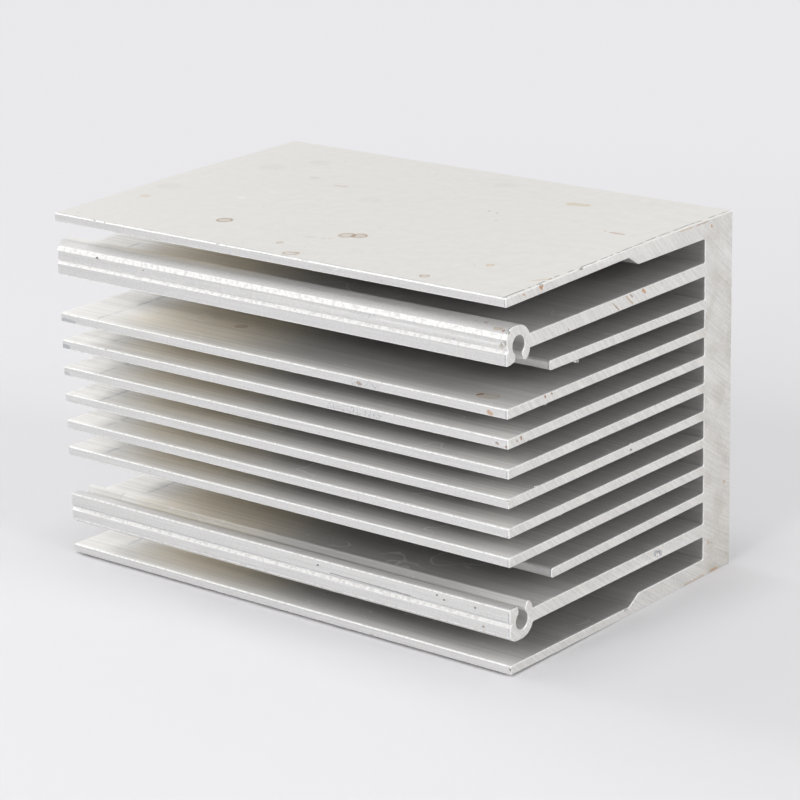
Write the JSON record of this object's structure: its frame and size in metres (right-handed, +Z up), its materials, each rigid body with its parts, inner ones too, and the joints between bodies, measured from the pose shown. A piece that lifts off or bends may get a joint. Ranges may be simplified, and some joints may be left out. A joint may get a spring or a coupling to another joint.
{
  "type": "extruded heat sink",
  "caption": "Extruded aluminium heat sink: thick flat base, straight plate fins, stiffer outer flanges, and slotted screw ports along two of the fins.",
  "frame": {"origin": "middle of the underside: centre of the bounding box in X and Y, at its lowest Z", "axes": "X runs along the extrusion, from one sawn end to the other; +Y is the outward side of the flat device face and the fins point to -Y; +Z is up, from the lower outer flange to the upper one"},
  "size_m": [0.154, 0.1, 0.1],
  "materials": {
    "aluminium": "mill finish, satin with fine extrusion lines; sawn ends"
  },
  "bodies": {
    "root": {"heat_sink": "aluminium"}
  },
  "joints": []
}
